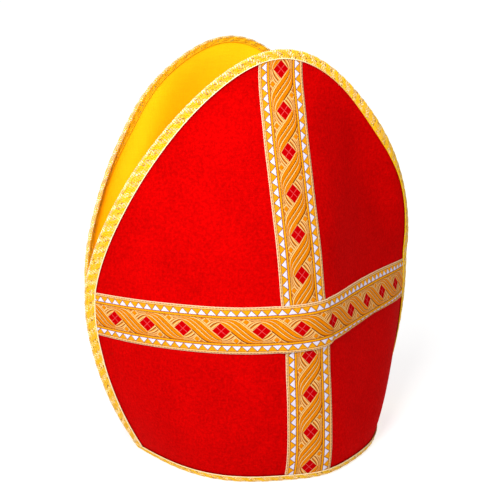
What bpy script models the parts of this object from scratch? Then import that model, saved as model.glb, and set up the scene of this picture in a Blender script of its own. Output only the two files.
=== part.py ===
"""Bishop's mitre: two stiff rounded panels, lined, edged with braid and crossed with ribbon.

The front faces -Y and the hem stands on Z = 0. Every cloth layer of a panel is laid on one
inner face, which level sections describe. The back is the front given half a turn about Z, and
both tip a little backward where they stand apart.
"""
import bmesh
import bpy
import numpy as np

MM = 0.001

# Level sections of the inner face of a panel, in millimetres.
# spread: half width that the section would have if the arch did not round it off
# roundness: curvature of the section's middle, per metre
# shoulder: fullness of both flanks; skew and twist: how much fuller one flank is than the other
# left_lip, right_roll: how much more each edge turns backward than the curve, per metre
# fold_height, fold_place, fold_width: the soft upright fold beside the ribbon
# tuck: how far the right edge is drawn in; sway: how far the back stands aside above its side seams
SECTION_NAMES = (
    "height", "spread", "roundness", "shoulder", "skew", "twist", "left_lip", "right_roll",
    "fold_height", "fold_place", "fold_width", "tuck", "sway",
)
SECTIONS = np.array(
    [
        (0, 96.0, 10.4, 0.50, -0.03, 0.00, -3.0, -1.0, 6.3, 15.3, 26.5, 0.0, 0.0),
        (40, 125.0, 7.6, 0.19, -0.11, 0.03, -6.0, -5.0, 6.3, 15.3, 26.5, 0.0, 0.0),
        (80, 150.5, 6.0, -0.13, -0.19, 0.07, -4.5, -5.5, 6.3, 15.3, 26.5, 0.0, 0.0),
        (120, 171.5, 5.4, -0.44, -0.28, 0.10, -2.0, -3.5, 6.5, 15.3, 26.5, 0.0, 0.0),
        (160, 186.5, 4.8, -0.75, -0.36, 0.13, 0.0, 4.5, 8.0, 24.0, 29.5, 0.6, 1.4),
        (200, 196.0, 4.1, -1.07, -0.45, 0.16, 0.0, 9.8, 10.0, 34.0, 33.5, 1.8, 4.2),
        (240, 200.5, 3.35, -1.37, -0.54, 0.18, 0.0, 8.0, 11.0, 39.0, 36.0, 2.5, 6.2),
        (280, 197.5, 2.4, -1.68, -0.62, 0.21, 0.0, 2.0, 10.0, 40.0, 36.0, 1.5, 7.0),
        (314, 188.0, 0.25, -1.95, -0.69, 0.26, 0.0, 0.0, 6.0, 40.0, 36.0, 0.0, 18.5),
    ],
    dtype=[(name, float) for name in SECTION_NAMES],
)
ROLL_WIDTH = 9.0
FOLD_FADE = 60.0
PANEL_HEIGHT = 314.0
FLANK_FULLNESS = 0.48

# The side seams hold the two panels together up to this height, above which they lean apart
PARTING_HEIGHT = 135.0
PARTING_SLOPE = 0.455
PARTING_EASE = 16.0
SEAM_GAP = 0.4

# Above the parting both panels tip backward
TIP_BACK = 15.0

# Cloth layers, counted outward from the inner face
GAP = 0.3
LAYER_GAP = 0.35
RIBBON_GAP = 0.85
BRAID_THICKNESS = 1.0
LINING_THICKNESS = 1.0
PANEL_THICKNESS = 1.6
INNER_LEG = (0.0, BRAID_THICKNESS)
LINING = (INNER_LEG[1] + LAYER_GAP, INNER_LEG[1] + LAYER_GAP + LINING_THICKNESS)
PANEL = (LINING[1] + GAP, LINING[1] + GAP + PANEL_THICKNESS)
OUTER_LEG = (PANEL[1] + LAYER_GAP, PANEL[1] + LAYER_GAP + BRAID_THICKNESS)
RIBBON = (PANEL[1] + RIBBON_GAP, PANEL[1] + RIBBON_GAP + BRAID_THICKNESS)
CROSSING_LIFT = BRAID_THICKNESS + RIBBON_GAP

# Braids and ribbons
EDGE_BRAID_WIDTH = 8.0
HEM_BRAID_WIDTH = 6.0
RIBBON_WIDTH = 33.0
CROSSBAR_HEIGHT = 119.5
CROSSBAR_DROOP = 4.6

# Facets
ROWS = 20
TOP_CROWDING = 1.2
BAND_COLUMNS = 4
FLANK_COLUMNS = 9
FLANK_TURN = np.radians(70)
WALK_STEPS = 4
SMALL = 0.01

RED_FELT = ("red_felt", (0.60, 0.0, 0.0, 1.0), 0.85)
YELLOW_LINING = ("yellow_lining", (0.95, 0.60, 0.01, 1.0), 0.7)
GOLD_BRAID = ("gold_braid", (0.85, 0.58, 0.12, 1.0), 0.5)
GOLD_RIBBON = ("gold_ribbon", (0.88, 0.42, 0.08, 1.0), 0.5)


def clear_scene():
    for thing in list(bpy.data.objects):
        bpy.data.objects.remove(thing, do_unlink=True)


def column(name, height):
    """Smooth curve through one column of SECTIONS, read at the given heights."""
    levels, values = SECTIONS["height"], SECTIONS[name]
    slopes = np.gradient(values, levels)
    i = np.clip(np.searchsorted(levels, height, side="right") - 1, 0, len(levels) - 2)
    step = levels[i + 1] - levels[i]
    t = (height - levels[i]) / step
    ends = values[i] * (1 + 2 * t) * (1 - t) ** 2 + values[i + 1] * (3 - 2 * t) * t**2
    return ends + step * t * (1 - t) * (slopes[i] * (1 - t) - slopes[i + 1] * t)


def half_width(height):
    return column("spread", height) * np.sqrt(np.clip(1 - height / PANEL_HEIGHT, 0, 1))


def edge_gap(height):
    """Distance from the seam plane to a panel's edge."""
    rise = np.maximum(height - PARTING_HEIGHT, 0)
    return SEAM_GAP / 2 + PARTING_SLOPE * rise**2 / (rise + PARTING_EASE)


def forward(x, height):
    """Distance from the seam plane to the inner face."""
    half = half_width(height)
    across = np.clip(x / np.maximum(half, SMALL), -1.2, 1.2)
    flanks = column("shoulder", height) * across**2 + FLANK_FULLNESS * across**4
    lean = column("skew", height) * across + column("twist", height) * across**3
    beside = (x - column("fold_place", height)) / column("fold_width", height)
    fold = column("fold_height", height) * np.exp(-(beside**2)) / (half**2 + FOLD_FADE**2)
    curve = column("roundness", height) / 1000 * (1 + flanks + lean)
    curve += column("left_lip", height) / 1000 * np.exp(-np.maximum(half + x, 0) / ROLL_WIDTH)
    curve += column("right_roll", height) / 1000 * np.exp(-np.maximum(half - x, 0) / ROLL_WIDTH)
    return edge_gap(height) + (half**2 - x**2) * (curve + fold)


def slopes(x, height):
    """How fast the inner face moves forward, sideways and upward."""
    sideways = (forward(x + SMALL, height) - forward(x - SMALL, height)) / (2 * SMALL)
    upward = (forward(x, height) - forward(x, height - SMALL)) / SMALL
    return sideways, upward


def place(x, height, layer):
    """Point of the front at a distance outward from the inner face, kept at its own height."""
    x, height = np.broadcast_arrays(np.asarray(x, float), np.asarray(height, float))
    sideways, upward = slopes(x, height)
    reach = layer * np.sqrt(1 + sideways**2 + upward**2) / (1 + sideways**2)
    tuck = column("tuck", height) * np.clip(x / np.maximum(half_width(height), SMALL), 0, 1.2) ** 2
    return np.stack([x - tuck - sideways * reach, -forward(x, height) - reach, height], axis=-1)


def edge(turn):
    """Point (x, height) of the outline: turn is 0 at the top, -1 and 1 at the two hem corners."""
    height = PANEL_HEIGHT * (1 - turn**2)
    return column("spread", height) * turn, height


def inset(turn, distance, level=False):
    """Point (x, height) of the inner face at a distance in from the outline."""
    x, height = edge(turn)
    before = place(*edge(max(turn - SMALL, -1.0)), 0.0)
    after = place(*edge(min(turn + SMALL, 1.0)), 0.0)
    for _ in range(WALK_STEPS):
        sideways, upward = slopes(x, height)
        inward = np.cross(after - before, (-sideways, -1.0, -upward))
        if level:
            inward = np.array([-np.sign(turn), np.sign(turn) * sideways, 0.0])
        inward *= distance / WALK_STEPS / np.linalg.norm(inward)
        x, height = x + inward[0], height + inward[2]
    return float(x), float(height)


def stations(*feet):
    """Turns of the outline from the top down, closer round the top, ending at the heights of feet."""
    turns = np.linspace(0, 1, 400)
    line = place(*edge(turns), 0.0)
    lengths = np.concatenate([[0], np.cumsum(np.linalg.norm(np.diff(line, axis=0), axis=1))])
    marks = np.interp(lengths[-1] * np.linspace(0, 1, ROWS + 1)[:-1] ** TOP_CROWDING, lengths, turns)
    return np.concatenate([marks, np.sqrt(1 - np.array(feet) / PANEL_HEIGHT)])


def inset_line(distance, *feet):
    """The outline moved inward, as x and height from the left foot over the top to the right foot."""
    marks = stations(*feet)
    turns = np.concatenate([-marks[::-1], marks[1:]])
    points = [inset(turn, distance, level=abs(turn) > marks[ROWS - 1]) for turn in turns]
    return np.array(points).T


def columns(left, right):
    """Places across a row: even over the ribbon's width, closer toward the edges."""
    band = min(RIBBON_WIDTH / 2, 0.35 * right)
    flank = np.sin(np.linspace(0, FLANK_TURN, FLANK_COLUMNS + 1)) / np.sin(FLANK_TURN)
    middle = np.linspace(-band, band, BAND_COLUMNS + 1)
    return np.concatenate([(flank * (left + band) - band)[::-1], middle[1:-1], band + flank * (right - band)])


def material(name, color, roughness):
    made = bpy.data.materials.new(name)
    made.use_nodes = True
    shader = made.node_tree.nodes["Principled BSDF"]
    shader.inputs["Base Color"].default_value = color
    shader.inputs["Roughness"].default_value = roughness
    made.diffuse_color = color
    return made


def add_object(name, points, faces, look):
    """Closed mesh from points in millimetres, with coinciding corners joined and faces turned out."""
    mesh = bpy.data.meshes.new(name)
    mesh.from_pydata([tuple(point) for point in np.asarray(points) * MM], [], faces)
    shape = bmesh.new()
    shape.from_mesh(mesh)
    bmesh.ops.remove_doubles(shape, verts=shape.verts, dist=0.02 * MM)
    bmesh.ops.triangulate(shape, faces=shape.faces)
    bmesh.ops.recalc_face_normals(shape, faces=shape.faces)
    shape.to_mesh(mesh)
    shape.free()
    mesh.materials.append(material(f"{name}_{look[0]}", look[1], look[2]))
    bpy.context.collection.objects.link(bpy.data.objects.new(name, mesh))


def tipped(points, sway):
    """Points of a panel after its part above the parting has bent over."""
    rise = np.maximum(points[:, 2:] - PARTING_HEIGHT, 0) / (PANEL_HEIGHT - PARTING_HEIGHT)
    return points + rise**2 * (0, TIP_BACK, 0) + sway * np.array((1, 0, 0))


def add_front_and_back(piece, points, faces, look):
    sway = column("sway", points[:, 2:])
    add_object(f"front_{piece}", tipped(points, 0), faces, look)
    add_object(f"back_{piece}", tipped(points * (-1, -1, 1), sway), faces, look)


def sheet(x, height, layer, arched=False):
    """Points and faces of one cloth layer over a grid of rows (upward) and columns (rightward).

    An arched sheet closes over itself along its last row, which then needs no rim.
    """
    rows, count = x.shape
    near = place(x, height, layer[0]).reshape(-1, 3)
    far = place(x, height, layer[1]).reshape(-1, 3)
    back = len(near)
    faces = []
    for r in range(rows - 1):
        for c in range(count - 1):
            a, b = r * count + c, r * count + c + 1
            d, e = a + count, b + count
            faces += [(a + back, b + back, e + back), (a + back, e + back, d + back), (a, e, b), (a, d, e)]
    down_left = [r * count for r in range(rows - 1, -1, -1)]
    bottom = list(range(1, count))
    up_right = [r * count + count - 1 for r in range(1, rows)]
    top = [] if arched else [(rows - 1) * count + c for c in range(count - 2, -1, -1)]
    rim = down_left + bottom + up_right + top
    for a, b in zip(rim, rim[1:]):
        faces.append((a, b, b + back, a + back))
    return np.concatenate([near, far]), faces


def channel(profiles, closed):
    """Points and faces of a folded braid: one eight-cornered profile at each station.

    Facets split from edge to tip, as the sheets beside them do, so that the layers stay parallel.
    """
    size = 8
    count = len(profiles)
    faces = []
    for s in range(count if closed else count - 1):
        here, there = s * size, (s + 1) % count * size
        for c in range(size):
            d = (c + 1) % size
            if c % 4 == 2:
                faces += [(here + c, here + d, there + c), (here + d, there + d, there + c)]
            else:
                faces += [(here + c, here + d, there + d), (here + c, there + d, there + c)]
    if not closed:
        for start in (0, (count - 1) * size):
            for cap in ((0, 1, 2, 3), (0, 3, 4, 7), (4, 5, 6, 7)):
                faces.append(tuple(start + corner for corner in cap))
    return np.concatenate(profiles), faces


def panel_grid():
    """Rows and columns that the panel and its lining share, from the foot to the top of the arch."""
    feet = (HEM_BRAID_WIDTH, BRAID_THICKNESS + GAP)
    edge_x, edge_height = inset_line(BRAID_THICKNESS + GAP, *feet)
    tip_x, tip_height = inset_line(EDGE_BRAID_WIDTH, *feet)
    grid_x, grid_height = [], []
    for left in range(len(edge_x) // 2 + 1):
        right = -1 - left
        across = columns(tip_x[left], tip_x[right])
        levels = np.linspace(tip_height[left], tip_height[right], len(across))
        grid_x.append([edge_x[left], *across, edge_x[right]])
        grid_height.append([edge_height[left], *levels, edge_height[right]])
    return np.array(grid_x), np.array(grid_height)


def make_panels():
    x, height = panel_grid()
    add_front_and_back("panel", *sheet(x, height, PANEL, arched=True), RED_FELT)
    add_front_and_back("lining", *sheet(x, height, LINING, arched=True), YELLOW_LINING)


def fold_profile(outer, fold, tip):
    """Corners of a braid folded over an edge, from three places (x, height) across it."""
    corners = (
        (outer, INNER_LEG[0]), (tip, INNER_LEG[0]), (tip, INNER_LEG[1]), (fold, INNER_LEG[1]),
        (fold, OUTER_LEG[0]), (tip, OUTER_LEG[0]), (tip, OUTER_LEG[1]), (outer, OUTER_LEG[1]),
    )
    return np.array([place(*spot, layer) for spot, layer in corners])


def make_edge_braids():
    bottom = HEM_BRAID_WIDTH + GAP
    lines = [inset_line(distance, bottom).T for distance in (0.0, BRAID_THICKNESS, EDGE_BRAID_WIDTH)]
    profiles = [fold_profile(*spots) for spots in zip(*lines)]
    add_front_and_back("edge_braid", *channel(profiles, closed=False), GOLD_BRAID)


def hem_columns(height):
    """Places across the front at one height of the hem braid, between its two side seams."""
    turn = np.sqrt(1 - height / PANEL_HEIGHT)
    left, right = (inset(side * turn, EDGE_BRAID_WIDTH, level=True)[0] for side in (-1, 1))
    return [(x, height) for x in columns(left, right)]


def hem_corner(side):
    """Profile where the front and the back meet at a side seam, mitred on the seam plane."""
    corners = []
    for height, layer in (
        (0.0, INNER_LEG[0]), (HEM_BRAID_WIDTH, INNER_LEG[0]),
        (HEM_BRAID_WIDTH, INNER_LEG[1]), (BRAID_THICKNESS, INNER_LEG[1]),
        (BRAID_THICKNESS, OUTER_LEG[0]), (HEM_BRAID_WIDTH, OUTER_LEG[0]),
        (HEM_BRAID_WIDTH, OUTER_LEG[1]), (0.0, OUTER_LEG[1]),
    ):
        half = half_width(height)
        right, upward = slopes(half, height)
        left, _ = slopes(-half, height)
        steepness = (left - right) / 2
        reach = (SEAM_GAP / 2 + layer * np.sqrt(1 + steepness**2 + upward**2)) / steepness
        corners.append((side * (half + reach), 0.0, height))
    return np.array(corners)


def make_hem_braid():
    lines = [hem_columns(height) for height in (0.0, BRAID_THICKNESS, HEM_BRAID_WIDTH)]
    front = [fold_profile(*spots) for spots in zip(*lines)]
    back = [profile * (-1, -1, 1) for profile in front]
    profiles = front + [hem_corner(1)] + back + [hem_corner(-1)]
    add_object("hem_braid", *channel(profiles, closed=True), GOLD_BRAID)


def make_upright_ribbons():
    foot = HEM_BRAID_WIDTH + GAP
    x, height = inset_line(EDGE_BRAID_WIDTH + RIBBON_GAP, foot)
    near_top = (abs(x) < RIBBON_WIDTH) & (height > PANEL_HEIGHT / 2)
    across = np.linspace(-RIBBON_WIDTH / 2, RIBBON_WIDTH / 2, BAND_COLUMNS + 1)
    top = np.interp(across, x[near_top], height[near_top])
    _, levels = edge(stations(foot)[::-1])
    levels = levels[levels < top.min() - BRAID_THICKNESS]
    grid_x = np.tile(across, (len(levels) + 1, 1))
    grid_height = np.vstack([np.repeat(levels[:, None], len(across), axis=1), top])
    add_front_and_back("upright_ribbon", *sheet(grid_x, grid_height, RIBBON), GOLD_RIBBON)


def crossbar_middle(x):
    """Height of the crossbar's middle line, which sags a little toward the right."""
    return CROSSBAR_HEIGHT - CROSSBAR_DROOP * np.maximum(x / half_width(CROSSBAR_HEIGHT), 0) ** 3


def make_crossbar_ribbons():
    x, height = inset_line(EDGE_BRAID_WIDTH + RIBBON_GAP, 0.0)
    sides = (slice(0, ROWS + 1), slice(2 * ROWS, ROWS - 1, -1))
    grid_x, grid_height = [], []
    for offset in (-RIBBON_WIDTH / 2, 0.0, RIBBON_WIDTH / 2):
        ends = [np.interp(CROSSBAR_HEIGHT + offset, height[side], x[side]) for side in sides]
        for _ in range(WALK_STEPS):
            levels = [crossbar_middle(end) + offset for end in ends]
            ends = [np.interp(level, height[side], x[side]) for level, side in zip(levels, sides)]
        across = columns(*ends)
        grid_x.append(across)
        grid_height.append(crossbar_middle(across) + offset)
    grid_x = np.array(grid_x)
    lift = np.where(abs(grid_x) < RIBBON_WIDTH / 2 + GAP, CROSSING_LIFT, 0.0)
    layer = (RIBBON[0] + lift, RIBBON[1] + lift)
    add_front_and_back("crossbar_ribbon", *sheet(grid_x, np.array(grid_height), layer), GOLD_RIBBON)


clear_scene()
make_panels()
make_edge_braids()
make_hem_braid()
make_upright_ribbons()
make_crossbar_ribbons()
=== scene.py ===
"""Bishop's mitre: velvet panels, lining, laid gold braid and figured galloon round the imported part.

Lengths are millimetres until a mesh is made. The front faces -Y and the hem stands on Z = 0. Every
cloth lies on one inner face, and the back is the front given half a turn about Z.
"""

from functools import partialmethod

import bmesh
import bpy
import numpy as np
from mathutils import Matrix, Vector


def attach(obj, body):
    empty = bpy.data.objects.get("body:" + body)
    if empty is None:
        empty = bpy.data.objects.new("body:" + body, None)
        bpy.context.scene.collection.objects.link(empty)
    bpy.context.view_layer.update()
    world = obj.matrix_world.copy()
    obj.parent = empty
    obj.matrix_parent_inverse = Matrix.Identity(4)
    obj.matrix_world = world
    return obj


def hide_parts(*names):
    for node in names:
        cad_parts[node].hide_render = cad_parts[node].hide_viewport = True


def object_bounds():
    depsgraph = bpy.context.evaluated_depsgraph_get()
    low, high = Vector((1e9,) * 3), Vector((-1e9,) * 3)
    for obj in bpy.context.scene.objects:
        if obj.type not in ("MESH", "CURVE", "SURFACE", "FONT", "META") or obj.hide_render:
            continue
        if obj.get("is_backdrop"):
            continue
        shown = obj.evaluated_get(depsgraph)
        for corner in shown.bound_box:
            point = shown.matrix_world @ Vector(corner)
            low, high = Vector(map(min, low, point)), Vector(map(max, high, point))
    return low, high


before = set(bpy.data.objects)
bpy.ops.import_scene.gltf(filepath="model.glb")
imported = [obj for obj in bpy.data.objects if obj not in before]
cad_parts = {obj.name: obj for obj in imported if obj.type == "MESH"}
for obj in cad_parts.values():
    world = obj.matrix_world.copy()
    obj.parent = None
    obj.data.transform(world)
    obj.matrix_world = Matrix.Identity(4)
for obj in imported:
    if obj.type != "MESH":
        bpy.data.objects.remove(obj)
cad_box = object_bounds()

MM = 0.001
SIDES = ("front", "back")
HALF_TURN = (-1, -1, 1)

# Level sections of the inner face of a panel.
# spread: half width that the section would have if the arch did not round it off
# roundness: curvature of the section's middle, per metre
# shoulder: fullness of both flanks; skew and twist: how much fuller one flank is than the other
# left_lip, right_roll: how much more each edge turns backward than the curve, per metre
# fold_height, fold_place, fold_width: the soft upright fold beside the ribbon
# tuck: how far the right edge is drawn in; sway: how far the back stands aside above its side seams
SECTION_NAMES = (
    "height", "spread", "roundness", "shoulder", "skew", "twist", "left_lip", "right_roll",
    "fold_height", "fold_place", "fold_width", "tuck", "sway",
)
SECTIONS = np.array(
    [
        (0, 96.0, 10.4, 0.50, -0.03, 0.00, -3.0, -1.0, 6.3, 15.3, 26.5, 0.0, 0.0),
        (40, 125.0, 7.6, 0.19, -0.11, 0.03, -6.0, -5.0, 6.3, 15.3, 26.5, 0.0, 0.0),
        (80, 150.5, 6.0, -0.13, -0.19, 0.07, -4.5, -5.5, 6.3, 15.3, 26.5, 0.0, 0.0),
        (120, 171.5, 5.4, -0.44, -0.28, 0.10, -2.0, -3.5, 6.5, 15.3, 26.5, 0.0, 0.0),
        (160, 186.5, 4.8, -0.75, -0.36, 0.13, 0.0, 4.5, 8.0, 24.0, 29.5, 0.6, 1.4),
        (200, 196.0, 4.1, -1.07, -0.45, 0.16, 0.0, 9.8, 10.0, 34.0, 33.5, 1.8, 4.2),
        (240, 200.5, 3.35, -1.37, -0.54, 0.18, 0.0, 8.0, 11.0, 39.0, 36.0, 2.5, 6.2),
        (280, 197.5, 2.4, -1.68, -0.62, 0.21, 0.0, 2.0, 10.0, 40.0, 36.0, 1.5, 7.0),
        (314, 188.0, 0.25, -1.95, -0.69, 0.26, 0.0, 0.0, 6.0, 40.0, 36.0, 0.0, 18.5),
    ],
    dtype=[(name, float) for name in SECTION_NAMES],
)
PANEL_HEIGHT = 314.0
FLANK_FULLNESS = 0.48
# How far in from the edges their own turn reaches, and how softly the fold fades toward the tip
EDGE_TURN_REACH, FOLD_FADE = 9.0, 60.0
# Above the parting the panels lean apart by this slope, eased in, and both tips are bent back
PARTING_HEIGHT, PARTING_SLOPE, PARTING_EASE, SEAM_GAP = 135.0, 0.455, 16.0, 0.4
TIP_BACK = 15.0
# Waves of the cloth: millimetres to a radian across and upward, phase, and share of WAVE_HEIGHT
WAVES = ((17, 29, 0.0, 1.0), (-37, 13, 1.3, 0.8), (9.5, -21, 0.4, 0.7))
WAVE_HEIGHT, WAVE_FADE = 0.16, 1500.0
# How far the sections run on beyond the outline, which is 1
BEYOND = 1.2
# Rows and columns of a panel, its inset from the outline, and an angle that crowds columns to the edges
PANEL_ROWS, PANEL_COLUMNS, PANEL_INSET, CROWDING = 100, 111, 1.6, np.radians(62)
# A walk in from the outline grows level over this height down to the hem braid
LEVEL_RISE = 14.0
PANEL_STEPS, BRAID_STEPS = 4, 16
# Points at which lengths along the outline and the ribbons, and the ribbons' ends, are taken
OUTLINE_SAMPLES, UPRIGHT_SAMPLES, CROSSBAR_SAMPLES, TIP_SAMPLES = 2000, 4000, 2000, 900
SMALL = 0.01

# Cloth layers, counted outward from the inner face
LINING = (2.75, 3.05)
PANEL = (3.15, 4.3)
RIBBON_BED = 4.35
RIBBON_TOP = 5.15
BRAID_SKIN = (2.1, 5.3)
BRAID_CLOTH = 0.5

# The side seams draw the folds of the edge braids to this place beside the seam plane. The draw fades
# out over a distance in from the edge and over a height above the parting
SEAM_REST = -0.02
SEAM_DRAW, SEAM_RELEASE = 5.0, 12.0

INNER_BRAID_WIDTH = 5.2
# How far the crest of a braid's fold stays inside the outline, and off the floor
EDGE_CREST, HEM_CREST = 0.3, 0.6
# Turns round the outline, and the width of the edge braid on the outside there, which the seam takes
# up unevenly on the way round
BRAID_WIDTHS = np.array([
    (-1.0, -0.85, -0.64, -0.4, 0.0, 0.5, 0.66, 0.8, 0.9, 1.0),
    (11.6, 11.8, 9.8, 8.3, 7.0, 6.5, 8.5, 11.0, 12.4, 11.4),
])
HEM_BRAID_WIDTH = 5.5
# Height at which the edge braids and the upright ribbons begin
FOOT_HEIGHT = HEM_BRAID_WIDTH + 0.3
# The ribbon's width, how far its ends lie under the braid, and the room its relief takes of its cloth
RIBBON_WIDTH, RIBBON_TUCK, RELIEF_ROOM = 33.0, 0.4, 0.35
RIBBON_COLUMNS, BACK_COLUMNS, UPRIGHT_ROWS, CROSSBAR_ROWS = 61, 9, 540, 560
CROSSBAR_HEIGHT, CROSSBAR_DROOP = 119.5, 4.6
# The crossbar rises over the upright: how high, how far beyond it, and over what length it comes down
CROSSING_LIFT, CROSSING_MARGIN, CROSSING_RAMP = 1.15, 4.5, 4.0
# The crossbar's lower border lies partly rolled up to the right of the upright. The rows give distances
# from the middle along the ribbon, and the share of the border's width that the roll takes there
BORDER_WIDTH, ROLL_LIFT, ROLL_SOFTNESS = 6.2, 0.9, 3.0
BORDER_ROLL = ((14, 26, 50, 92, 126, 148, 168), (0.0, 0.36, 0.5, 0.72, 0.56, 0.36, 0.0))

# Figure of the ribbon: one diamond to each repeat, drawn on a band forty units wide. Lengths are in
# band units from here to PLAIT_BEND, but for REPEAT, FIRST_DIAMOND and CROSSBAR_SHIFT
REPEAT = 29.2
FIRST_DIAMOND = 14.7
CROSSBAR_SHIFT = 1.0 - 5.2 * REPEAT
BAND_UNITS = 40.0
REPEAT_UNITS = 30.5
DIAMOND = 7.0
DIAMOND_SLIMNESS = 1.06
SEED_OUT, SEED_ALONG = 8.0, 0.355
TEETH_PER_REPEAT, DASHES_PER_REPEAT = 4, 12
TOOTH_LENGTH = 4.6
TOOTH_START, TOOTH_SLANT = 0.34, 0.007
# Stripes beside the plait, counted out from the middle
RAIL, TEETH = (10.9, 12.25), (12.95, 17.4)
SELVAGE_CORD, SELVAGE = (17.9, 18.85), (19.2, 21.0)
DARK_LINES = ((10.3, 10.8), (12.35, 12.85), (17.45, 17.8), (18.9, 19.15))
# The same stripes where they are raised: from, to, softness of the step and height in millimetres
RAISED_STRIPES = ((10.9, 12.3, 0.3, 0.26), (17.9, 19.7, 0.4, 0.24))
# Edges of a plait's three stripes: place at the left rail, at the right rail, height of the crossing
PLAIT = ((-7.0, 10.3, 7.0), (-8.2, 9.1, 13.0), (-9.1, 8.2, 17.5), (-10.3, 7.0, 23.5))
PLAIT_BEND = 6.0

# Heights of the ribbon's figure in millimetres
GROUND_RISE, PLAIT_RISE, UNDER_RISE, SEED_RISE = 0.08, 0.38, 0.10, 0.2
DIAMOND_RISE, CROSS_DIP, TOOTH_RISE = 0.26, 0.14, 0.16

# Figure of the braid: leaves that sweep from its fold to both its edges. Leans are in degrees, and
# tints run from 0, darkest gold, to 1, cream
LEAF_REPEAT = 10.0
LEAF_SWEEP = 0.9
LEAF_SHARE, VEIN_SHARE = 0.24, 0.1
LEAF_LEAN, BETWEEN_LEAN = 34.0, -50.0
LEAF_TINT, BETWEEN_TINT, VEIN_TINT, INSIDE_SHADE_TINT, GROUND_TINT = 0.54, 0.86, 0.03, 0.26, 0.4
LEAF_SCATTER, BETWEEN_SCATTER = 0.04, 0.06
# Strands inside the fold go over to the inside tint by this much, a painted shade with bounce light from
# the lining. Those on the fold's crest are paler by a painted highlight, over this reach
INSIDE_SHADE_FADE, INSIDE_SHADE_MOST = 3.0, 0.8
CREST_HIGHLIGHT, CREST_HIGHLIGHT_REACH = 0.5, 0.25
DARK_FROM, DARK_SHARE = 0.2, 0.45
LEAF_SIZE, BETWEEN_SIZE, LEAF_RAISE = 1.15, 0.95, 0.1
STRAND_SIZE, STRAND_SCATTER = {"Length": 2.6, "Width": 0.8, "Height": 0.5}, 0.16

# A braid's fold as a share of its way across, its rows of strands, and their spacing
EDGE_DRESS = {"fold": 0.38, "rows": 13, "pitch": 1.6}
HEM_DRESS = {"fold": 0.5, "rows": 11, "pitch": 1.7}
EDGE_STATIONS, EDGE_PROFILE, HEM_STATIONS, HEM_PROFILE = 440, 31, 240, 25
EDGE_SEED, HEM_SEED = 11, 21
# Cords along the braids' tips. The edge braid's outer cord goes from cream to gold over these turns:
# cream where the light falls on the left and top, painted shade in gold on the right
EDGE_CORD_RADIUS, HEM_CORD_RADIUS, CORD_SIDES = 0.42, 0.36, 6
INNER_CORD_TINT, OUTER_CORD_SHADE_TURNS, OUTER_CORD_SHADE_TINTS = 0.36, (0.05, 0.4), (0.95, 0.5)
HEM_CORD_TINTS = {"inner": 0.4, "outer": 0.9}

# Colours that the gold threads run through as their tint goes from 0 to 1
GOLD_STOPS = (
    (0.0, (134, 104, 68)), (0.22, (204, 122, 6)), (0.5, (232, 186, 8)), (0.78, (210, 172, 116)),
    (1.0, (236, 220, 182)),
)


# ---- shape of the cloth

def column(name, height):
    """Smooth curve through one column of SECTIONS, read at the given heights."""
    levels, values = SECTIONS["height"], SECTIONS[name]
    slopes = np.gradient(values, levels)
    i = np.clip(np.searchsorted(levels, height, side="right") - 1, 0, len(levels) - 2)
    step = levels[i + 1] - levels[i]
    t = (height - levels[i]) / step
    ends = values[i] * (1 + 2 * t) * (1 - t) ** 2 + values[i + 1] * (3 - 2 * t) * t**2
    return ends + step * t * (1 - t) * (slopes[i] * (1 - t) - slopes[i + 1] * t)


def half_width(height):
    return column("spread", height) * np.sqrt(np.clip(1 - height / PANEL_HEIGHT, 0, 1))


def unevenness(x, height):
    """Slight waves that stiffened cloth keeps from its making."""
    waves = (share * np.sin(x / wide + height / high + phase) for wide, high, phase, share in WAVES)
    return WAVE_HEIGHT * sum(waves)


def forward(x, height):
    """Distance from the seam plane to the inner face."""
    rise = np.maximum(height - PARTING_HEIGHT, 0)
    gap = SEAM_GAP / 2 + PARTING_SLOPE * rise**2 / (rise + PARTING_EASE)
    half = half_width(height)
    across = np.clip(x / np.maximum(half, SMALL), -BEYOND, BEYOND)
    flanks = column("shoulder", height) * across**2 + FLANK_FULLNESS * across**4
    lean = column("skew", height) * across + column("twist", height) * across**3
    curve = column("roundness", height) / 1000 * (1 + flanks + lean)
    for name, from_edge in (("left_lip", half + x), ("right_roll", half - x)):
        curve += column(name, height) / 1000 * np.exp(-np.maximum(from_edge, 0) / EDGE_TURN_REACH)
    beside = (x - column("fold_place", height)) / column("fold_width", height)
    fold = column("fold_height", height) * np.exp(-(beside**2)) / (half**2 + FOLD_FADE**2)
    inside = half**2 - x**2
    cloth = np.maximum(inside, 0)
    return gap + inside * (curve + fold) + unevenness(x, height) * cloth / (cloth + WAVE_FADE)


def slopes(x, height):
    """How fast the inner face moves forward, sideways and upward."""
    sideways = (forward(x + SMALL, height) - forward(x - SMALL, height)) / (2 * SMALL)
    upward = (forward(x, height) - forward(x, height - SMALL)) / SMALL
    return sideways, upward


def place(x, height, layer):
    """Point of the front at a distance outward from the inner face, kept at its own height."""
    x, height, layer = np.broadcast_arrays(*(np.asarray(v, float) for v in (x, height, layer)))
    sideways, upward = slopes(x, height)
    reach = layer * np.sqrt(1 + sideways**2 + upward**2) / (1 + sideways**2)
    tuck = column("tuck", height) * np.clip(x / np.maximum(half_width(height), SMALL), 0, BEYOND) ** 2
    return np.stack([x - tuck - sideways * reach, -forward(x, height) - reach, height], axis=-1)


def settle(points, side):
    """Points of the front taken to their own side, with the part above the parting bent over."""
    if side == "back":
        points = points * HALF_TURN
    height = points[..., 2:]
    rise = np.maximum(height - PARTING_HEIGHT, 0) / (PANEL_HEIGHT - PARTING_HEIGHT)
    sway = column("sway", height) if side == "back" else 0
    return points + rise**2 * (0, TIP_BACK, 0) + sway * np.array((1, 0, 0))


def edge(turn):
    """Place on the outline: turn is 0 at the top, -1 and 1 at the two hem corners."""
    height = PANEL_HEIGHT * (1 - turn**2)
    return column("spread", height) * turn, height


def unit(vectors):
    return vectors / np.maximum(np.linalg.norm(vectors, axis=-1, keepdims=True), 1e-9)


def run_length(line):
    """Length along a line of points, from its start to each point."""
    return np.append(0.0, np.linalg.norm(np.diff(line, axis=0), axis=1).cumsum())


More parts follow.
